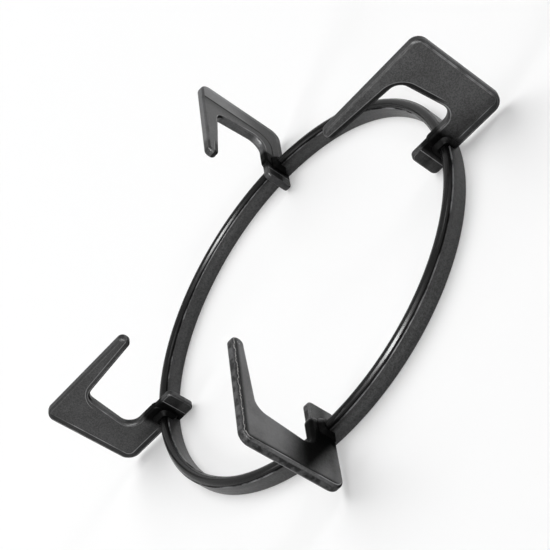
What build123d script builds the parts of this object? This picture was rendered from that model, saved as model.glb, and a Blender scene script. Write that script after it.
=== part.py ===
from build123d import *
import os

# The ring is bar with a round bead along its top, set on edge and bent into a closed hoop
ring_outer_diameter = 185.0
bar_thickness = 5.2
bar_height = 9.5
bead_width = 4.3
bead_height = 2.0
bar_shoulder_radius = 0.3
bar_bottom_edge_radius = 0.8

# Each finger is a C-shaped plate that stands on edge across the ring
finger_height = 51.0
foot_lift = 2.4
plate_thickness = 4.4
arm_length = 56.0
arm_tip_depth = 5.6
arm_tip_radius = 2.6
arm_root_depth = 8.4
post_top_width = 20.0
post_foot_width = 16.2
sill_length = 11.5
sill_rise = 5.5
outer_top_radius = 5.0
outer_foot_radius = 6.0
throat_radius = 5.5
plate_end_radius = 3.0
plate_edge_radius = 1.4

# The plate ends in a lobe over the bar, and a thinner, coined tab goes on down the bar's inner face
lobe_overhang = 1.2
tab_length = 10.0
tab_thickness = 3.4
tab_drop = 0.6
tab_lift = 0.3
tab_corner_radius = 2.4
tab_edge_radius = 0.9

# Fits and welds where the finger seats on the ring
notch_clearance = 0.1
weld_leg = 2.0
weld_land = 0.3
weld_root = 1.0
weld_top_radius = 3.0
weld_margin = 0.8

ring_outer_radius = ring_outer_diameter / 2
ring_inner_radius = ring_outer_radius - bar_thickness
bar_middle = ring_outer_radius - bar_thickness / 2
plate_end = ring_inner_radius - lobe_overhang
post_foot = ring_outer_radius + sill_length
finger_reach = post_foot + post_foot_width
arm_tip = finger_reach - arm_length
sill_height = bar_height + sill_rise
tab_top = sill_height - tab_drop
tab_end = ring_inner_radius - tab_length

finger_places = {
    "finger_right": 0,
    "finger_back": 90,
    "finger_left": 180,
    "finger_front": 270,
}


def rounded_outline(corners):
    """A flat outline from its corner points, each with the radius that rounds it."""
    outline = make_face(Polyline(*[point for point, radius in corners], close=True))
    for point, radius in corners:
        if radius > 0:
            corner = outline.vertices().sort_by_distance(point)[0]
            outline = fillet(corner, radius)
    return outline


def upright_plate(outline, thickness, edge_radius):
    """A plate standing on edge along X, with softly rounded edges on both faces."""
    plate = extrude(Plane.XZ * outline, thickness / 2, both=True)
    faces = plate.faces().sort_by(Axis.Y)
    return fillet(faces[0].edges() + faces[-1].edges(), edge_radius)


def make_ring():
    """The hoop: the section of the bar turned about the upright axis."""
    shoulder = bar_height - bead_height
    bar = Rectangle(bar_thickness, shoulder, align=(Align.CENTER, Align.MIN))
    bar = fillet(bar.vertices().group_by(Axis.Y)[-1], bar_shoulder_radius)
    bar = fillet(bar.vertices().group_by(Axis.Y)[0], bar_bottom_edge_radius)
    foot = bead_width / 2
    bead_arc = ThreePointArc((foot, shoulder), (0, bar_height), (-foot, shoulder))
    section = bar + make_face(bead_arc + Line((-foot, shoulder), (foot, shoulder)))
    return revolve(Plane.XZ * Pos(bar_middle, 0) * section, Axis.Z)


def make_plate():
    """The C of a finger: pan arm above, post outside, sill below with its lobe over the bar."""
    throat_top = finger_height - arm_root_depth
    outline = rounded_outline([
        ((arm_tip, finger_height), arm_tip_radius),
        ((finger_reach, finger_height), outer_top_radius),
        ((finger_reach, foot_lift), outer_foot_radius),
        ((plate_end, foot_lift), plate_end_radius),
        ((plate_end, sill_height), plate_end_radius),
        ((post_foot, sill_height), throat_radius),
        ((finger_reach - post_top_width, throat_top), throat_radius),
        ((arm_tip, finger_height - arm_tip_depth), arm_tip_radius),
    ])
    return upright_plate(outline, plate_thickness, plate_edge_radius)


def make_tab():
    """The coined tab that hangs from the lobe, inside the ring."""
    outline = rounded_outline([
        ((tab_end, tab_top), tab_corner_radius),
        ((bar_middle, tab_top), 0),
        ((bar_middle, tab_lift), 0),
        ((tab_end, tab_lift), tab_corner_radius),
    ])
    return upright_plate(outline, tab_thickness, tab_edge_radius)


def make_notch():
    """The slot that drops over the bar, closed at the height of the bar's top edge."""
    width = bar_thickness + 2 * notch_clearance
    slot = Box(width, 2 * plate_thickness, 2 * bar_height, align=(Align.CENTER, Align.CENTER, Align.MAX))
    return Pos(bar_middle, 0, bar_height) * slot


def make_weld(side, ring):
    """A fillet weld that saddles the bar, sloping from one side of the plate down to the ring."""
    bottom = foot_lift + weld_margin
    height = bar_height + weld_leg - bottom
    outline = Rectangle(bar_thickness + 2 * weld_leg, height, align=(Align.CENTER, Align.MIN))
    outline = fillet(outline.vertices().group_by(Axis.Y)[-1], weld_top_radius)
    saddle = Plane.XZ * Pos(bar_middle, bottom) * outline
    start = Pos(0, side * (plate_thickness / 2 - weld_root))
    weld = extrude(start * saddle, -side * (weld_root + weld_leg))
    end_face = weld.faces().sort_by(Axis.Y)[-1 if side > 0 else 0]
    return chamfer(end_face.edges(), weld_leg - weld_land) - ring


def make_finger(ring):
    """One finger along +X: plate and tab in one, slotted for the bar, with its two welds."""
    finger = make_plate() + make_tab() - make_notch()
    for side in (-1, 1):
        finger += make_weld(side, ring)
    return finger


os.makedirs("parts", exist_ok=True)
support_ring = make_ring()
finger = make_finger(support_ring)
export_step(support_ring, "parts/support_ring.step")
for name, angle in finger_places.items():
    export_step(Rot(0, 0, angle) * finger, f"parts/{name}.step")
print("ring volume", round(support_ring.volume, 1))
print("finger volume", round(finger.volume, 1), "in", len(finger.solids()), "solid")
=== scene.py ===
# %% [markdown]
# A pan support for a gas hob: a black enamelled ring with four C-shaped plates standing across it. The
# solids come ready made, at their real size. This lesson sets up a camera, spins the ring anew so that its
# edge is even, lights a small studio, and gives the pieces two kinds of black enamel. Everything is in
# metres, with the hob's top plate at height zero.

# %% Load the frame
import math

import bmesh
import bpy
from mathutils import Matrix, Vector


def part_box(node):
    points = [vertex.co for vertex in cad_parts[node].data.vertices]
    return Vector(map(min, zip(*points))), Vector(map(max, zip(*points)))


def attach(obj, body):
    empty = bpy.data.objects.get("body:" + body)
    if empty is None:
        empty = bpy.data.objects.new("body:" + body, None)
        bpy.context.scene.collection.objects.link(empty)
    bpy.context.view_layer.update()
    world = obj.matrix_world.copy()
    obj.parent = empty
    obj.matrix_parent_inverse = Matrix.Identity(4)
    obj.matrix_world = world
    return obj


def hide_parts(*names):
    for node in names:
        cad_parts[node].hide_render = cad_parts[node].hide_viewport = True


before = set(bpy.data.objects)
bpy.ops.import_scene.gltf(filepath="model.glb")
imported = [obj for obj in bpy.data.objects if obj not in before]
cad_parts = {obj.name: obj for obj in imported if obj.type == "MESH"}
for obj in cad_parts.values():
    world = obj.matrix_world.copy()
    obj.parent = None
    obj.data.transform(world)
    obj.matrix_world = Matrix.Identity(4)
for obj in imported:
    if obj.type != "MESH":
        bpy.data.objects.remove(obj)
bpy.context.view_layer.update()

scene = bpy.context.scene
ring_low, ring_high = (Vector(corner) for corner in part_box("support_ring"))
finger_names = [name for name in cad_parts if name.startswith("finger_")]
finger_reach, _, finger_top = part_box("finger_right")[1]
print("pieces:", sorted(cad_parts))

# %% [markdown]
# The camera. A product photographer often tips the camera over on its side so that a flat object
# fills a square picture. This one looks down at a low angle and is rolled by nearly sixty degrees.
# An empty to track would do it too, but a matrix built from three directions says exactly what
# "right", "up" and "forward" mean, and the roll is then a plain turn of the first two.

# %% Directions of the camera
CAMERA_AZIMUTH = math.radians(-62.21)
CAMERA_ELEVATION = math.radians(27.36)
CAMERA_ROLL = math.radians(58.07)

toward_camera = Vector((
    math.cos(CAMERA_AZIMUTH) * math.cos(CAMERA_ELEVATION),
    math.sin(CAMERA_AZIMUTH) * math.cos(CAMERA_ELEVATION),
    math.sin(CAMERA_ELEVATION),
))
level_right = Vector((-math.sin(CAMERA_AZIMUTH), math.cos(CAMERA_AZIMUTH), 0.0))
level_up = toward_camera.cross(level_right)
roll = Matrix.Rotation(-CAMERA_ROLL, 3, toward_camera)
camera_axes = Matrix((roll @ level_right, roll @ level_up, toward_camera)).transposed()
print("toward the camera:", [round(part, 3) for part in toward_camera])

# %% Place the camera
CAMERA_DISTANCE = 0.6936
CAMERA_TARGET = Vector((-0.00234, 0.00316, 0.01691))
CAMERA_LENS_MM = 107.5
CAMERA_CLIP = (0.01, 50.0)

camera_data = bpy.data.cameras.new("product_camera")
camera_data.lens = CAMERA_LENS_MM
camera_data.clip_start, camera_data.clip_end = CAMERA_CLIP
camera = bpy.data.objects.new("product_camera", camera_data)
camera_place = Matrix.Translation(CAMERA_TARGET + CAMERA_DISTANCE * toward_camera)
camera.matrix_world = camera_place @ camera_axes.to_4x4()
scene.collection.objects.link(camera)
scene.camera = camera
print("camera at mm:", [round(1000 * part) for part in camera.location])

# %% [markdown]
# The ring is bar with a round bead rolled along its top, set on edge and bent into a hoop. In the solid
# from the frame, the rows of points round the hoop don't line up, and its rounded edges show as small
# steps against white paper. A hoop is the easiest of shapes to make even: draw the section of the bar
# once, as a closed line, and spin it about the upright axis. The bead is a spin as well, of a single
# vertex about the bead's own middle, and a bevel on vertices rounds the corners of the bar.

# %% Section of the bar
BAR_THICKNESS = 0.0052
BEAD_WIDTH, BEAD_HEIGHT = 0.0043, 0.0020
SHOULDER_ROUNDING, BOTTOM_ROUNDING = 0.0003, 0.0008
BEAD_STEPS, ROUNDING_STEPS = 14, 4

inner_side, outer_side = ring_high.x - BAR_THICKNESS, ring_high.x
bar_middle = ring_high.x - BAR_THICKNESS / 2
shoulder = ring_high.z - BEAD_HEIGHT
bead_radius = (BEAD_HEIGHT**2 + (BEAD_WIDTH / 2)**2) / (2 * BEAD_HEIGHT)
bead_centre = Vector((bar_middle, 0.0, ring_high.z - bead_radius))
bead_sweep = 2 * math.atan2(BEAD_WIDTH / 2, shoulder - bead_centre.z)

hoop = bmesh.new()
outer_foot = hoop.verts.new((bar_middle + BEAD_WIDTH / 2, 0.0, shoulder))
bead = bmesh.ops.spin(hoop, geom=[outer_foot], cent=bead_centre, axis=(0, -1, 0), angle=bead_sweep,
                      steps=BEAD_STEPS)
inner_foot = next(item for item in bead["geom_last"] if isinstance(item, bmesh.types.BMVert))
tops = [hoop.verts.new((side, 0.0, shoulder)) for side in (inner_side, outer_side)]
bottoms = [hoop.verts.new((side, 0.0, ring_low.z)) for side in (inner_side, outer_side)]
path = [inner_foot, tops[0], bottoms[0], bottoms[1], tops[1], outer_foot]
for first, second in zip(path, path[1:]):
    hoop.edges.new((first, second))
for corners, rounding_radius in ((tops, SHOULDER_ROUNDING), (bottoms, BOTTOM_ROUNDING)):
    bmesh.ops.bevel(hoop, geom=corners, offset=rounding_radius, segments=ROUNDING_STEPS, profile=0.5,
                    affect="VERTICES", material=-1)
print("section of", len(hoop.edges), "edges, bead radius mm", round(1000 * bead_radius, 3))

# %% Spin the ring
HOOP_STEPS = 288
CREASE_ANGLE = math.radians(35)

bmesh.ops.spin(hoop, geom=hoop.verts[:] + hoop.edges[:], axis=(0, 0, 1), angle=2 * math.pi,
               steps=HOOP_STEPS, use_merge=True)
bmesh.ops.recalc_face_normals(hoop, faces=hoop.faces[:])
ring_mesh = bpy.data.meshes.new("round_ring")
hoop.to_mesh(ring_mesh)
hoop.free()
ring_mesh.shade_smooth()
ring_mesh.set_sharp_from_angle(angle=CREASE_ANGLE)
round_ring = bpy.data.objects.new("round_ring", ring_mesh)
scene.collection.objects.link(round_ring)
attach(round_ring, "root")
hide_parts("support_ring")
print("ring of", len(ring_mesh.polygons), "faces,", [round(1000 * d, 1) for d in round_ring.dimensions], "mm")

# %% [markdown]
# Materials are built from nodes. Drawing them by hand in the Shader Editor is a good way to learn, but a
# coat with forty small marks is easier to read as a list. This class holds one node tree and gives short
# names to the few kinds of node in use: arithmetic, a smooth ramp, noise and a blend. Every method takes
# plain numbers or sockets and gives back a socket, so that they can be put inside each other.

# %% Short names for nodes
class NodeTree:
    """The node tree of a material or world, emptied, with short names for a few kinds of node."""

    def __init__(self, owner):
        owner.use_nodes = True
        self.tree = owner.node_tree
        self.tree.nodes.clear()

    def add(self, kind, inputs=(), **settings):
        """A node of that kind. A socket given as an input is joined, and a plain value is set."""
        node = self.tree.nodes.new(kind)
        for name, value in settings.items():
            setattr(node, name, value)
        for key, value in dict(inputs).items():
            if isinstance(value, bpy.types.NodeSocket):
                self.tree.links.new(value, node.inputs[key])
            else:
                node.inputs[key].default_value = value
        return node

    def show(self, shader, kind="ShaderNodeOutputMaterial"):
        """Joins a shader to the output."""
        self.add(kind, {"Surface": shader.outputs[0]})

    def chain(self, operation, values):
        """One kind of arithmetic over all the values, from left to right."""
        result = values[0]
        for value in values[1:]:
            result = self.add("ShaderNodeMath", {0: result, 1: value}, operation=operation).outputs[0]
        return result

    def times(self, *values):
        return self.chain("MULTIPLY", values)

    def plus(self, *values):
        return self.chain("ADD", values)

    def minus(self, *values):
        return self.chain("SUBTRACT", values)

    def most(self, *values):
        return self.chain("MAXIMUM", values)

    def least(self, *values):
        return self.chain("MINIMUM", values)

    def rest(self, share):
        """What a share leaves of the whole."""
        return self.minus(1.0, share)

    def size(self, value):
        """A number without its sign."""
        return self.add("ShaderNodeMath", {0: value}, operation="ABSOLUTE").outputs[0]

    def length(self, first, second):
        """The long side of a right-angled triangle."""
        squares = self.plus(self.times(first, first), self.times(second, second))
        return self.add("ShaderNodeMath", {0: squares}, operation="SQRT").outputs[0]

    def ramp(self, value, low, high, start=0.0, end=1.0):
        """A smooth change from start to end while the value goes from low to high."""
        limits = {"Value": value, "From Min": low, "From Max": high, "To Min": start, "To Max": end}
        return self.add("ShaderNodeMapRange", limits, interpolation_type="SMOOTHSTEP").outputs[0]

    def noise(self, place, scale, detail, roughness=0.55):
        """Noise in space: scale counts bumps in a metre."""
        settings = {"Vector": place, "Scale": scale, "Detail": detail, "Roughness": roughness}
        return self.add("ShaderNodeTexNoise", settings).outputs[0]

    def blend(self, share, first, second):
        """A mix of two numbers."""
        return self.add("ShaderNodeMix", {0: share, 2: first, 3: second}, data_type="FLOAT").outputs[0]

    def blend_colour(self, share, first, second):
        """A mix of two colours."""
        return self.add("ShaderNodeMix", {0: share, 6: first, 7: second}, data_type="RGBA").outputs[2]

    def place(self):
        """The point's place on the object, which stays put when the object or the camera moves."""
        return self.add("ShaderNodeTexCoord").outputs["Object"]

    def split(self, vector):
        """The three numbers of a vector."""
        return tuple(self.add("ShaderNodeSeparateXYZ", {0: vector}).outputs)


print("short names:", [name for name in vars(NodeTree) if not name.startswith("_")])

# %% [markdown]
# The floor is a plain pale table. White paper in a studio is lit until it is nearly as bright as
# paper can be, and only the soft shadow under the object shows. Pouring more light on everything
# would wash out the black enamel, so the floor glows a little for the camera and for reflections, and
# takes the rest of its brightness, and the shadow, from the lamps.

# %% Floor
FLOOR_SIZE = 8.0
FLOOR_GLOW = 0.32
FLOOR_COLOUR = (0.93, 0.93, 0.93, 1.0)
WHITE = (1.0, 1.0, 1.0, 1.0)

table = bmesh.new()
bmesh.ops.create_grid(table, x_segments=1, y_segments=1, size=FLOOR_SIZE / 2)
floor_mesh = bpy.data.meshes.new("studio_floor")
table.to_mesh(floor_mesh)
table.free()
floor = bpy.data.objects.new("studio_floor", floor_mesh)
scene.collection.objects.link(floor)


def seen_directly(nodes):
    """1 for the camera's own rays, mirror rays and rays through glass, 0 for light that bounces."""
    rays = nodes.add("ShaderNodeLightPath").outputs
    return nodes.most(rays["Is Camera Ray"], rays["Is Glossy Ray"], rays["Is Transmission Ray"])


studio_paper = bpy.data.materials.new("studio_paper")
paper = NodeTree(studio_paper)
plain = paper.add("ShaderNodeBsdfDiffuse", {"Color": FLOOR_COLOUR})
glow = paper.add("ShaderNodeEmission", {"Color": WHITE, "Strength": 1.0})
glow_share = paper.times(seen_directly(paper), FLOOR_GLOW)
paper.show(paper.add("ShaderNodeMixShader", {0: glow_share, 1: plain.outputs[0], 2: glow.outputs[0]}))
floor_mesh.materials.append(studio_paper)
print("floor of", FLOOR_SIZE, "m with", len(floor_mesh.polygons), "face")

# %% [markdown]
# The room around the table is white to look at but sends out only a little light of its own, as the dim
# walls of a studio do. The view transform is Standard, so that a colour comes out as it is written.

# %% Room
ROOM_LIGHT = 0.24

scene.world = bpy.data.worlds.new("studio_room")
room = NodeTree(scene.world)
room_strength = room.ramp(seen_directly(room), 0.0, 1.0, ROOM_LIGHT, 1.0)
walls = room.add("ShaderNodeBackground", {"Color": WHITE, "Strength": room_strength})
room.show(walls, "ShaderNodeOutputWorld")
scene.view_settings.view_transform = "Standard"
print("room light", ROOM_LIGHT)

# %% [markdown]
# Soft studio light. A very broad lamp, far off and high behind the object, lights the table evenly and
# throws the soft shadow toward the camera. It is kept out of reflections, as a black flag on the set
# would do, or it would draw a line along every top edge. A narrow bright box above the camera is there
# for reflections alone: it draws the two streaks on the ring's bead, one on the far side and one on the
# near side. They sit where the ring runs square to the view, so the box has to hang in the camera's
# plane. A lamp at the left lights the plate edges, and a weak one at the right opens the dark faces.

# %% Softbox
def softbox(name, place, size, power):
    """A rectangular area lamp that faces the object, its width level as the camera sees it."""
    data = bpy.data.lights.new(name, "AREA")
    data.shape = "RECTANGLE"
    data.size, data.size_y = size
    data.energy = power
    backward = place.normalized()
    across = (level_right - level_right.dot(backward) * backward).normalized()
    turned = Matrix((across, backward.cross(across), backward)).transposed()
    lamp = bpy.data.objects.new(name, data)
    lamp.matrix_world = Matrix.Translation(place) @ turned.to_4x4()
    scene.collection.objects.link(lamp)
    print(name, "of", power, "W at", [round(part, 2) for part in place])
    return lamp


def around(azimuth, elevation, distance):
    """A place given as the camera sees it: azimuth from the camera's side, turning to its right."""
    turn, rise = CAMERA_AZIMUTH + math.radians(azimuth), math.radians(elevation)
    flat = distance * math.cos(rise)
    return Vector((flat * math.cos(turn), flat * math.sin(turn), distance * math.sin(rise)))


# %% Lamps
BACK_PLACE, BACK_SIZE, BACK_POWER = (180, 56, 6.0), (4.7, 5.6), 352.0
STREAK_PLACE, STREAK_SIZE, STREAK_POWER = (0, 50, 1.1), (0.22, 1.0), 66.0
LEFT_PLACE, LEFT_SIZE, LEFT_POWER = (-80, 30, 1.2), (0.30, 0.5), 2.9
RIGHT_PLACE, RIGHT_SIZE, RIGHT_POWER = (75, 35, 1.3), (0.3, 0.3), 1.7

back_lamp = softbox("back_softbox", around(*BACK_PLACE), BACK_SIZE, BACK_POWER)
back_lamp.visible_glossy = False
streak_lamp = softbox("streak_softbox", around(*STREAK_PLACE), STREAK_SIZE, STREAK_POWER)
streak_lamp.visible_diffuse = False
softbox("left_softbox", around(*LEFT_PLACE), LEFT_SIZE, LEFT_POWER)
softbox("right_softbox", around(*RIGHT_PLACE), RIGHT_SIZE, RIGHT_POWER)

# %% [markdown]
# The fingers' enamel, step by step. Vitreous enamel is ground glass fired on to steel. Each finger gets
# its own marks, and many of them are painted light and shade, which differ from finger to finger. One
# material can serve all four if it knows where on the object a point lies. The solids stand about the
# origin, so Object coordinates tell it: the front finger is where y is far below zero, the back one where y
# is far above it, and x tells the left and right ones.

# %% Places on a finger
SIDE_FROM, SIDE_TO = 0.060, 0.070
BACK_FROM, BACK_TO = 0.070, 0.075

finger_enamel = bpy.data.materials.new("finger_black_enamel")
coat = NodeTree(finger_enamel)
place = coat.place()
x, y, z = coat.split(place)
x_size, y_size = coat.size(x), coat.size(y)
along = coat.most(x_size, y_size)
front = coat.ramp(y, -SIDE_FROM, -SIDE_TO)
left = coat.ramp(x, -SIDE_FROM, -SIDE_TO)
right = coat.ramp(x, SIDE_FROM, SIDE_TO)
at_back = coat.ramp(y, BACK_FROM, BACK_TO)
not_front, not_back = coat.rest(front), coat.rest(at_back)
print("places found with", len(coat.tree.nodes), "nodes")

# %% [markdown]
# The parts of a plate. It has two flat faces, a cut edge all round and a rounding between them. They
# could be painted as vertex groups, but the solids' meshes are left alone, and the normal tells as much:
# on a face it points straight across the plate, on the cut edge it lies in the plate, and on the rounding
# it does neither. Which way is "across" follows from the place: two fingers lie along X and two along Y.

# %% Faces, edges and roundings
CUT_EDGE = (0.25, 0.10)
ROUNDING_STARTS, ROUNDING_ENDS = (0.05, 0.45), (0.90, 0.995)
FACES_UP, FACES_DOWN = (0.10, 0.55), (-0.08, -0.45)

normal = coat.split(coat.add("ShaderNodeNewGeometry").outputs["Normal"])
lies_along_x = coat.chain("GREATER_THAN", (x_size, y_size))
across = coat.size(coat.blend(lies_along_x, normal[0], normal[1]))
cut_edge = coat.ramp(across, *CUT_EDGE)
rounding = coat.times(coat.ramp(across, *ROUNDING_STARTS), coat.ramp(across, *ROUNDING_ENDS, 1.0, 0.0))
edge = coat.most(cut_edge, rounding)
flat_face = coat.rest(edge)
upward, downward = coat.ramp(normal[2], *FACES_UP), coat.ramp(normal[2], *FACES_DOWN)
print("edges found with", len(coat.tree.nodes), "nodes")

# %% [markdown]
# Grain. A flat black would look like plastic. Fired enamel has a fine speckle from the ground glass and
# slow changes where the coat is thicker, so noise of two sizes is added up and runs between a darker and
# a paler black. The edges are made paler in patches: partly a thinner coat, and partly a painted
# highlight for the light that the roundings catch. Each noise is written as its scale, its detail and,
# where it isn't the usual one, its roughness.

# %% Grain, thin edges and painted edge highlight
FACE_DARK, FACE_PALE = (0.004, 0.004, 0.004, 1.0), (0.026, 0.026, 0.027, 1.0)
EDGE_PALE = (0.045, 0.045, 0.047, 1.0)
SLOW_NOISE, SPECKLE_NOISE = (90.0, 4.0), (1900.0, 2.0, 0.7)
SLOW_PART, SPECKLE_PART = 0.4, 0.6
FACE_TONES = (0.40, 0.62)
THIN_PATCHES = (0.35, 0.60, 0.35, 1.0)


def two_grains(nodes, place):
    """Slow noise and fine speckle, the two that both enamels share."""
    return nodes.noise(place, *SLOW_NOISE), nodes.noise(place, *SPECKLE_NOISE)


slow, speckle = two_grains(coat, place)
grain = coat.plus(coat.times(slow, SLOW_PART), coat.times(speckle, SPECKLE_PART))
colour = coat.blend_colour(coat.ramp(grain, *FACE_TONES), FACE_DARK, FACE_PALE)
# Painted highlight: the edges are paler in patches, partly a thinner coat and partly light caught on the
# roundings.
thin_coat_and_highlight = coat.times(edge, coat.ramp(slow, *THIN_PATCHES))
colour = coat.blend_colour(thin_coat_and_highlight, colour, EDGE_PALE)
print("grain of", SLOW_NOISE[0], "and", SPECKLE_NOISE[0], "bumps in a metre")

# %% [markdown]
# Painted shade. Where a finger crosses the ring, the enamel is painted black and dull, as the shade that
# falls in the recess between the parts. The crossing is found by its distance from the middle of the
# ring, with some noise so that its border isn't drawn with a compass. Ambient Occlusion counts how shut
# in a point is and adds painted shade in the small corners at the welds, but not in the ones that the
# floor makes. The roundings under lower edges, which face down, get painted shade as well.

# %% Painted shade at the crossing
SHADE_BLACK = (0.001, 0.001, 0.001, 1.0)
CROSSING_FROM, CROSSING_TO = 0.0825, 0.0955
CROSSING_STARTS, CROSSING_ENDS, CROSSING_WAVER = 0.004, 0.006, 0.004
CROSSING_TOP = (0.018, 0.024)
FRONT_SHIFT, FRONT_SPREAD = 0.005, 0.003

# Painted shade where the finger crosses the ring, in the recess between the parts.
from_middle = coat.plus(coat.length(x, y), coat.times(slow, CROSSING_WAVER))
shade_inner = coat.minus(from_middle, coat.times(front, FRONT_SHIFT))
shade_inner = coat.ramp(shade_inner, CROSSING_FROM, CROSSING_FROM + CROSSING_STARTS)
shade_outer = coat.minus(from_middle, coat.times(front, FRONT_SPREAD))
shade_outer = coat.ramp(shade_outer, CROSSING_TO, CROSSING_TO + CROSSING_ENDS, 1.0, 0.0)
near_ring = coat.times(shade_inner, shade_outer, coat.ramp(z, *CROSSING_TOP, 1.0, 0.0))
print("pool from", CROSSING_FROM, "to", CROSSING_TO, "m off the middle")

# %% [markdown]
# On the front finger the painted shade reaches further, as a painted shadow. It covers a dark triangle
# between the ring, the post and a slanting line from the ring up to the outer edge, and below that line
# the foot is left pale. Height above a slanted line is one product and one difference, so it takes no
# texture.

# %% Painted shadow on the front finger
SHADOW_TOP, SHADOW_FADE, SHADOW_STOP = 0.034, 0.015, 0.0016
SLANT_START, SLANT_RISE, SLANT_SOFT = 0.0945, 0.72, 0.005
CORNER_REACH, CORNER_SAMPLES = 0.020, 8
SHUT_IN = (0.42, 0.92)
FLOOR_MARGIN = 0.004


# Painted shade in shut-in corners, found with Ambient Occlusion.
def corner_mask(nodes, height):
    """0 in the open, 1 in a shut-in corner, leaving out what the floor shuts in."""
    occlusion = nodes.add("ShaderNodeAmbientOcclusion", {"Distance": CORNER_REACH}, samples=CORNER_SAMPLES)
    shut_in = nodes.ramp(occlusion.outputs["AO"], *SHUT_IN, 1.0, 0.0)
    return nodes.times(shut_in, nodes.ramp(height, FLOOR_MARGIN, 2 * FLOOR_MARGIN))


# Painted shadow: the dark triangle on the front finger, between the ring, the post and a slanting line.
above_slant = coat.minus(z, coat.times(coat.minus(along, SLANT_START), SLANT_RISE))
front_shadow = coat.times(
    front, shade_inner,
    coat.ramp(z, SHADOW_TOP, SHADOW_TOP - SHADOW_FADE),
    coat.ramp(above_slant, -SLANT_SOFT / 2, SLANT_SOFT),
    coat.ramp(y, SHADOW_STOP / 4 - finger_reach, SHADOW_STOP - finger_reach),
)
# All the painted shade goes to black: the crossing, the front finger's shadow, the corners and the
# down-facing roundings.
crossing = coat.most(near_ring, front_shadow)
painted_shade = coat.most(corner_mask(coat, z), crossing, coat.times(rounding, downward))
colour = coat.blend_colour(painted_shade, colour, SHADE_BLACK)
print("pools made with", len(coat.tree.nodes), "nodes")

# %% [markdown]
# Painted highlight lines. Just where the rounding begins, a pale line is painted as a highlight on the
# edge. It is broken in places, and along the tops of the arms it is left out. On the front finger's arm,
# pans have chipped the edge, and there the line is ragged and lighter all the way, partly chips and partly
# painted glints. The line is a narrow range of the normal, and noise added to the normal's number makes it
# wander there. A drawn curve would need fitting to every edge of the plate.

# %% Painted highlight lines and chips
HIGHLIGHT_PALE, CHIP_GLINT_GREY = (0.30, 0.30, 0.305, 1.0), (0.42, 0.41, 0.40, 1.0)
WORN_FROM, WORN_FADE = 0.046, 0.002
WORN_SIDE, WORN_SIDE_FADE = -0.055, 0.004
CRUMBLE_NOISE, CRUMBLE_MIDDLE = (330.0, 5.0, 0.7), 0.35
BRINK_STARTS, BRINK_ENDS = (0.86, 0.94), (0.97, 0.998)
TOP_LINE, TOP_LINE_FADE, TOP_LINE_LEFT = 0.0468, 0.0015, 0.12
LINE_PATCHES = (0.38, 0.62, 0.15, 1.0)

worn = coat.times(coat.ramp(z, WORN_FROM, WORN_FROM + WORN_FADE),
                  coat.ramp(y, WORN_SIDE, WORN_SIDE - WORN_SIDE_FADE))
crumbled = coat.noise(place, *CRUMBLE_NOISE)
ragged = coat.times(worn, coat.minus(crumbled, CRUMBLE_MIDDLE))
wandering = coat.plus(across, ragged)
brink = coat.times(coat.ramp(wandering, *BRINK_STARTS), coat.ramp(wandering, *BRINK_ENDS, 1.0, 0.0))
uncovered = coat.ramp(z, TOP_LINE, TOP_LINE + TOP_LINE_FADE, 1.0, TOP_LINE_LEFT)
patchy = coat.most(worn, coat.times(uncovered, coat.ramp(slow, *LINE_PATCHES)))
# Painted highlight along the edges, and on the front finger's arm chips with painted glints.
highlight_and_chips = coat.times(brink, patchy, coat.rest(crossing))
line_colour = coat.blend_colour(coat.times(worn, upward), HIGHLIGHT_PALE, CHIP_GLINT_GREY)
colour = coat.blend_colour(highlight_and_chips, colour, line_colour)
print("worn above", WORN_FROM, "m on the front finger")

# %% [markdown]
# A paler face. The front finger's face is greyer than the others, on its upper part and again on the
# foot under the painted shadow. It stops short of the outline, where a dark band is left. It is a plain
# blend to grey, but the marks made before have to be left out of it.

# %% Paler face of the front finger
PALER_FACE_GREY = (0.105, 0.105, 0.107, 1.0)
PALER_HEIGHTS, FOOT_PALER = (0.016, 0.034), 0.8
PALER_PATCHES = (0.35, 0.65, 0.5, 1.0)
BAND = (0.0014, 0.0032)

from_outside = coat.minus(finger_reach, along)
from_outline = coat.least(coat.minus(finger_top, z), from_outside)
paler_foot = coat.ramp(above_slant, 0.0, -SLANT_SOFT, 0.0, FOOT_PALER)
paler_face = coat.times(
    front, coat.most(coat.ramp(z, *PALER_HEIGHTS), paler_foot),
    coat.ramp(from_outline, *BAND),
    coat.ramp(slow, *PALER_PATCHES),
    coat.rest(coat.most(cut_edge, painted_shade)),
    coat.rest(highlight_and_chips),
)
colour = coat.blend_colour(paler_face, colour, PALER_FACE_GREY)
print("haze made with", len(coat.tree.nodes), "nodes")

# %% [markdown]
# Tops and tabs. The upper edges of the side fingers are painted as dark as their faces, as painted shade
# against the light that falls on upward edges, and the tabs inside the ring get darker painted shade
# still, except for the front one. The paler edges from before are covered again in both places.

# %% Painted shade on tops and tabs
TOP_SHADE, TAB_SHADE = 0.70, 0.50
TAB_ROOT, TAB_TOP = (0.0873, 0.0853), (0.016, 0.018)

# Painted shade on the upward edges of the side fingers and on the tabs inside the ring.
shaded_top = coat.times(upward, edge, not_front, not_back, TOP_SHADE)
shaded_tab = coat.times(coat.ramp(along, *TAB_ROOT), coat.ramp(z, *TAB_TOP, 1.0, 0.0), not_front, TAB_SHADE)
top_and_tab_shade = coat.most(shaded_top, shaded_tab)
colour = coat.blend_colour(top_and_tab_shade, colour, FACE_DARK)
print("tops covered by", TOP_SHADE, "and tabs by", TAB_SHADE)

# %% [markdown]
# Rims. The two side fingers get a dark rim along their outer and lower edges, painted shade that a lower
# specular level makes, with a painted highlight line where it meets the face, and a painted highlight
# line also marks off the end of each tab. The rim turns the foot's round corner. Its place is a distance:
# far from the corner it is measured straight in from the edge, and near it from the middle of the
# corner's circle, and one formula with two "not less than zero" covers both.

# %% Distance in from a rim
FOOT_RADIUS, FOOT_HEIGHT = 0.006, 0.0024
RIGHT_SHIFT = 0.0020


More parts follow.
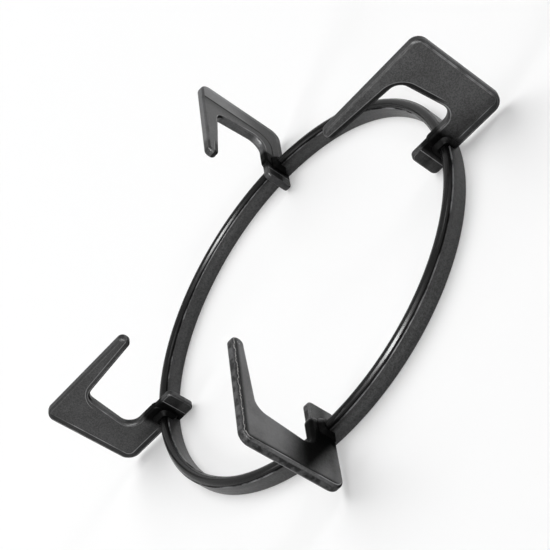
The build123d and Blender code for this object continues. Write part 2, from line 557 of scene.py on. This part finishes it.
def inset(nodes, past_side, past_foot, radius):
    """How far in from two lines, joined by a round corner, a point lies."""
    return nodes.minus(radius, nodes.length(nodes.most(past_side, 0.0), nodes.most(past_foot, 0.0)))


rim_side = coat.plus(finger_reach - FOOT_RADIUS, coat.times(right, RIGHT_SHIFT))
rim = inset(coat, coat.minus(along, rim_side), coat.minus(FOOT_HEIGHT + FOOT_RADIUS, z), FOOT_RADIUS)
print("rim turns a corner of", FOOT_RADIUS, "m")

# %% Painted rim shade and highlight lines
RIM_WIDTH, RIM_LINE, RIM_STARTS = 0.0034, 0.0003, 0.004
RIM_SHADE, LEFT_RIM_SHADE = 0.45, 0.80
TAB_LINE = 0.0828

on_plate = coat.times(not_front, coat.ramp(along, CROSSING_TO, CROSSING_TO + RIM_STARTS))
# Painted highlight lines along the rims and at the ends of the tabs.
rim_highlight = coat.ramp(coat.size(coat.minus(rim, RIM_WIDTH)), RIM_LINE, 0.0)
rim_highlight = coat.times(rim_highlight, on_plate, flat_face, not_back, patchy)
tab_highlight = coat.ramp(coat.size(coat.minus(along, TAB_LINE)), RIM_LINE, 0.0)
tab_highlight = coat.times(tab_highlight, coat.ramp(z, *TAB_TOP, 1.0, 0.0), flat_face, not_front)
colour = coat.blend_colour(coat.most(rim_highlight, tab_highlight), colour, HIGHLIGHT_PALE)
# Painted shade on the rims, through a lower specular level.
on_rim = coat.times(coat.ramp(rim, RIM_WIDTH, RIM_WIDTH - RIM_LINE), on_plate)
painted_rim_shade = coat.times(not_back, on_rim, coat.blend(left, RIM_SHADE, LEFT_RIM_SHADE))
print("rim", RIM_WIDTH, "m wide")

# %% [markdown]
# The side fingers also get a strip of painted shade round the throat, under the arm and, on the right
# one, down the inner side of the post, again with a painted highlight line along it. The two sides of the
# throat lean a little, so each is a slanted line first. Then the same distance with a round corner serves:
# it is above zero in the opening and falls below zero on the plate, and the strip ends where it is minus
# the strip's own width.

# %% Painted shade and highlight round the throat
ARM_TIP, ARM_UNDER, ARM_SLOPE = 0.0642, 0.0454, 0.0778
POST_SIDE, POST_FOOT, POST_SLOPE = 0.1040, 0.0150, 0.1377
THROAT_RADIUS, THROAT_WIDTH = 0.0055, 0.0027
THROAT_ENDS, LEFT_THROAT_ENDS = (0.020, 0.027), (0.034, 0.041)
THROAT_SHADE, LEFT_THROAT_SHADE, THROAT_LINE = 0.85, 0.45, 0.6

arm_line = coat.minus(ARM_UNDER - THROAT_RADIUS, coat.times(coat.minus(along, ARM_TIP), ARM_SLOPE))
post_line = coat.minus(POST_SIDE - THROAT_RADIUS, coat.times(coat.minus(z, POST_FOOT), POST_SLOPE))
from_throat = inset(coat, coat.minus(along, post_line), coat.minus(z, arm_line), THROAT_RADIUS)
from_strip = coat.plus(from_throat, THROAT_WIDTH)
at_throat = coat.blend(left, coat.ramp(z, *THROAT_ENDS), coat.ramp(z, *LEFT_THROAT_ENDS))
at_throat = coat.times(at_throat, not_front, not_back)
# Painted shade in a strip round the throat.
throat_strip_shade = coat.times(at_throat, coat.ramp(from_strip, 0.0, RIM_LINE),
                         coat.blend(left, THROAT_SHADE, LEFT_THROAT_SHADE))
colour = coat.blend_colour(throat_strip_shade, colour, FACE_DARK)
# Painted highlight line along the throat strip.
throat_highlight = coat.times(at_throat, coat.ramp(coat.size(from_strip), RIM_LINE, 0.0), flat_face, THROAT_LINE)
colour = coat.blend_colour(throat_highlight, colour, HIGHLIGHT_PALE)
print("throat strip", THROAT_WIDTH, "m wide")

# %% [markdown]
# The back finger gets a paler strip of painted light along its outer side, and a black line of painted
# shade between the strip and the rest of the face. The line follows the outer side, turns the foot and
# runs down to the ring, so it is the same distance with a round corner as the rim's. The face gets painted
# shade too, darkest next to the line and at the foot, through a lower specular level.

# %% Painted lit strip and shade line of the back finger
PAINTED_LIGHT_GREY = (0.20, 0.20, 0.205, 1.0)
SEAM_IN, SEAM_UP, SEAM_RADIUS, SEAM_WIDTH = 0.0115, 0.0075, 0.0080, 0.0008
SEAM_STARTS = 0.004
BACK_SHADE, BACK_SHADE_HEIGHTS = 0.70, (0.012, 0.036)
STRIP_PALE, STRIP_HEIGHTS, STRIP_STARTS = 0.65, (0.016, 0.044), (0.014, 0.030)
STRIP_PATCHES, BRIM_PATCHES = (0.30, 0.60, 0.6, 1.0), (0.35, 0.60, 0.2, 1.0)

seam_side, seam_foot = finger_reach - SEAM_IN - SEAM_RADIUS, FOOT_HEIGHT + SEAM_UP + SEAM_RADIUS
from_seam = inset(coat, coat.minus(y, seam_side), coat.minus(seam_foot, z), SEAM_RADIUS)
past_seam = coat.ramp(from_seam, -SEAM_WIDTH, 0.0)
beside_seam = coat.times(past_seam, coat.ramp(from_seam, 0.0, SEAM_RADIUS, BACK_SHADE, 0.0))
# Painted shade on the back finger's face, darkest next to the line and at the foot.
back_face_shade = coat.most(beside_seam, coat.ramp(z, *BACK_SHADE_HEIGHTS, BACK_SHADE, 0.0))
back_face_shade = coat.times(back_face_shade, at_back, flat_face)

# Painted highlight: a pale line along the line of shade.
brim_highlight = coat.ramp(coat.size(coat.plus(from_seam, 2 * SEAM_WIDTH)), SEAM_WIDTH, 0.0)
brim_highlight = coat.times(brim_highlight, coat.ramp(slow, *BRIM_PATCHES))
# Painted light: a paler strip along the outer side.
lit_strip = coat.times(coat.rest(past_seam), coat.ramp(z, *STRIP_HEIGHTS, 0.0, STRIP_PALE))
lit_strip = coat.times(coat.most(lit_strip, brim_highlight), at_back, flat_face, coat.ramp(slow, *STRIP_PATCHES),
                   coat.ramp(z, *STRIP_STARTS))
colour = coat.blend_colour(lit_strip, colour, PAINTED_LIGHT_GREY)
# Painted shade: a black line between the strip and the face.
seam = coat.times(past_seam, coat.ramp(from_seam, SEAM_WIDTH / 2, 1.5 * SEAM_WIDTH, 1.0, 0.0), flat_face,
                  coat.ramp(y, CROSSING_TO - SEAM_STARTS, CROSSING_TO))
colour = coat.blend_colour(seam, colour, SHADE_BLACK)
print("seam", SEAM_IN, "m in from the outer side")

# %% [markdown]
# The front finger's edge gets dark marks: dark blotches on the cut edge, a dark band just inside the
# outline, and a halo of painted shade on both sides of the ragged line, which makes the chips look deep.

# %% Dark edge marks of the front finger
BLOTCH_NOISE, BLOTCH_RANGE, BLOTCH_SHADES = (240.0, 3.0), (0.42, 0.58), (0.35, 0.85)
BAND_SHADE, HALO_SHADE = 0.90, 0.85

blotches = coat.ramp(coat.noise(place, *BLOTCH_NOISE), *BLOTCH_RANGE, *BLOTCH_SHADES)
blotched_edge = coat.times(cut_edge, blotches)
colour = coat.blend_colour(coat.times(blotched_edge, front), colour, FACE_DARK)
band = coat.times(coat.ramp(from_outline, *BAND, BAND_SHADE, 0.0), flat_face)
# Painted shade round the ragged line, so that the chips look deep.
chip_halo_shade = coat.times(rounding, worn, HALO_SHADE, coat.rest(highlight_and_chips))
front_dark = coat.times(coat.most(band, blotched_edge, chip_halo_shade), front)
print("stains made with", len(coat.tree.nodes), "nodes")

# %% [markdown]
# Gloss. On black enamel nearly all that the eye sees is reflection, so the depth of the dark marks comes
# less from colour than from how much the surface reflects. All the dark marks go into one mask that lowers
# the specular level. A mottle finer than the grain breaks up the reflection, as the pits of fired glass do.

# %% Gloss of the fingers
LEFT_SHADE, BACK_DULL = 0.24, 0.40
FACE_GLOSS, GLOSS_LOSS = 0.475, 0.46
MOTTLE_NOISE, MOTTLE = (950.0, 4.0, 0.75), (0.36, 0.64, 0.78, 1.22)
SATIN, ROUNDING_ROUGH = (0.36, 0.64, 0.34, 0.50), 0.50


def mottle(nodes, place):
    """A number about 1 that changes the gloss from spot to spot."""
    return nodes.ramp(nodes.noise(place, *MOTTLE_NOISE), *MOTTLE)


# Most of these marks are painted shade, made by a lower specular level.
dull = coat.most(painted_shade, back_face_shade, painted_rim_shade, throat_strip_shade, seam, front_dark, top_and_tab_shade,
                 coat.times(left, LEFT_SHADE, flat_face),
                 coat.times(rounding, upward, at_back, BACK_DULL))
gloss = coat.times(coat.minus(FACE_GLOSS, coat.times(dull, GLOSS_LOSS)), mottle(coat, place))
rough = coat.blend(rounding, coat.ramp(grain, *SATIN), ROUNDING_ROUGH)
print("gloss from", round(FACE_GLOSS - GLOSS_LOSS, 3), "to", FACE_GLOSS)

# %% [markdown]
# Relief and shader. The rim falls away slightly toward the edge, and the coat has a skin like orange peel
# a hundredth of a millimetre or so deep. Both are too shallow to model, so they are bumps: one for the
# rim, and on top of it one for the skin and the chips. Then the Principled shader takes everything up.

# %% Relief and shader of the fingers
RIM_SLOPE = 0.40
PEEL_NOISE, PEEL_PART, PIT_PART, CHIP_DEPTH = (520.0, 2.0), 0.6, 0.4, 9.0
SKIN_STRENGTH, SKIN_DEPTH = 0.8, 0.00010
GLASS_INDEX = 1.62


def enamel_shader(nodes, colour, rough, gloss, bump):
    """The shader that both enamels end in."""
    nodes.show(nodes.add("ShaderNodeBsdfPrincipled", {
        "Base Color": colour, "Roughness": rough, "IOR": GLASS_INDEX,
        "Specular IOR Level": gloss, "Normal": bump.outputs["Normal"],
    }))


rolled = coat.times(coat.least(coat.minus(rim, RIM_WIDTH), 0.0), RIM_SLOPE, not_front)
rim_bump = coat.add("ShaderNodeBump", {"Height": rolled, "Strength": 1.0, "Distance": 1.0})
peel = coat.noise(place, *PEEL_NOISE)
chips = coat.times(rounding, upward, ragged, CHIP_DEPTH)
skin = coat.plus(coat.times(peel, PEEL_PART), coat.times(speckle, PIT_PART), chips)
skin_bump = coat.add("ShaderNodeBump", {
    "Height": skin, "Strength": SKIN_STRENGTH, "Distance": SKIN_DEPTH, "Normal": rim_bump.outputs["Normal"],
})
enamel_shader(coat, colour, rough, gloss, skin_bump)
print("finger enamel of", len(coat.tree.nodes), "nodes")

# %% [markdown]
# The ring's enamel. Its bar was drawn through rolls before it was bent, and faint lines along its length
# still show through the coat. They come from noise that is stretched round the ring: its first coordinate
# is the angle, made small, and the others are the distance from the middle and the height. The crease
# between the bead and the flank is painted black as painted shade, and the bar's shoulder below it gets a
# broken line of painted highlight, as the edges of the fingers do.

# %% Lines along the bar, painted crease shade and shoulder highlight
DRAWN_STRETCH, DRAWN_NOISE = 0.006, (900.0, 2.0)
CREASE_WIDTH = 0.00045
SHOULDER_PATCHES = (0.40, 0.60)

ring_enamel = bpy.data.materials.new("ring_black_enamel")
bar = NodeTree(ring_enamel)
place = bar.place()
x, y, z = bar.split(place)
slow, speckle = two_grains(bar, place)
angle = bar.chain("ARCTAN2", (y, x))
unrolled = bar.add("ShaderNodeCombineXYZ", {0: bar.times(angle, DRAWN_STRETCH), 1: bar.length(x, y), 2: z})
drawn = bar.noise(unrolled.outputs[0], *DRAWN_NOISE)
on_bead = bar.ramp(z, shoulder, shoulder + CREASE_WIDTH)
# Painted shade in the crease between the bead and the flank, and in shut-in corners.
from_crease = bar.size(bar.minus(z, shoulder + CREASE_WIDTH / 3))
crease = bar.ramp(from_crease, CREASE_WIDTH, CREASE_WIDTH / 3)
painted_shade = bar.most(corner_mask(bar, z), crease)
# Painted highlight: a pale broken line on the shoulder.
from_shoulder = bar.size(bar.minus(z, shoulder - SHOULDER_ROUNDING / 2))
shoulder_highlight = bar.ramp(from_shoulder, SHOULDER_ROUNDING, SHOULDER_ROUNDING / 3)
shoulder_highlight = bar.times(shoulder_highlight, bar.ramp(slow, *SHOULDER_PATCHES))
print("shoulder at mm", round(1000 * shoulder, 2))

# %% [markdown]
# The bead is wiped most often and is smooth, so the narrow lamp draws a long streak on it. The flanks are
# satin and mottled like the fingers. The same grain, mottle and shader are used again, and only the bead's
# own numbers are blended in above the shoulder.

# %% Coat of the ring
FLANK_PALE, FLANK_TONES = (0.017, 0.017, 0.018, 1.0), (0.38, 0.64)
WIPED = (0.35, 0.65, 0.20, 0.30)
FLANK_GLOSS, BEAD_GLOSS, CREASE_GLOSS = 0.39, 0.12, 0.1
RING_PEEL_NOISE, RING_SKIN_DEPTH, BEAD_SKIN = (420.0, 2.0), 0.00009, 0.06

grain = bar.plus(bar.times(drawn, SLOW_PART), bar.times(speckle, SPECKLE_PART))
colour = bar.blend_colour(bar.ramp(grain, *FLANK_TONES), FACE_DARK, FLANK_PALE)
# The bead's own darker colour, then painted shade in the crease and corners and the painted highlight on the
# shoulder.
for share, shade in ((on_bead, FACE_DARK), (painted_shade, SHADE_BLACK), (shoulder_highlight, PAINTED_LIGHT_GREY)):
    colour = bar.blend_colour(share, colour, shade)
rough = bar.blend(on_bead, bar.ramp(grain, *SATIN), bar.ramp(drawn, *WIPED))
flank_gloss = bar.times(mottle(bar, place), FLANK_GLOSS)
gloss = bar.times(bar.blend(on_bead, flank_gloss, BEAD_GLOSS), bar.ramp(painted_shade, 0.0, 1.0, 1.0, CREASE_GLOSS))
peel = bar.noise(place, *RING_PEEL_NOISE)
skin = bar.plus(bar.times(peel, PEEL_PART), bar.times(speckle, PIT_PART))
skin = bar.times(skin, bar.ramp(on_bead, 0.0, 1.0, 1.0, BEAD_SKIN))
skin_bump = bar.add("ShaderNodeBump", {
    "Height": skin, "Strength": SKIN_STRENGTH, "Distance": RING_SKIN_DEPTH,
})
enamel_shader(bar, colour, rough, gloss, skin_bump)
print("ring enamel of", len(bar.tree.nodes), "nodes")

# %% [markdown]
# Dressing. A piece is dipped, so it has one coat all over. The fingers' old material slots are emptied and
# the enamel is put in the first. The new ring has no slots yet and gets its own.

# %% Dress the pieces
for name in finger_names:
    finger_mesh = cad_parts[name].data
    finger_mesh.materials.clear()
    finger_mesh.materials.append(finger_enamel)
    print(name, "wears", finger_enamel.name)
ring_mesh.materials.append(ring_enamel)
print(round_ring.name, "wears", ring_enamel.name)

# %% [markdown]
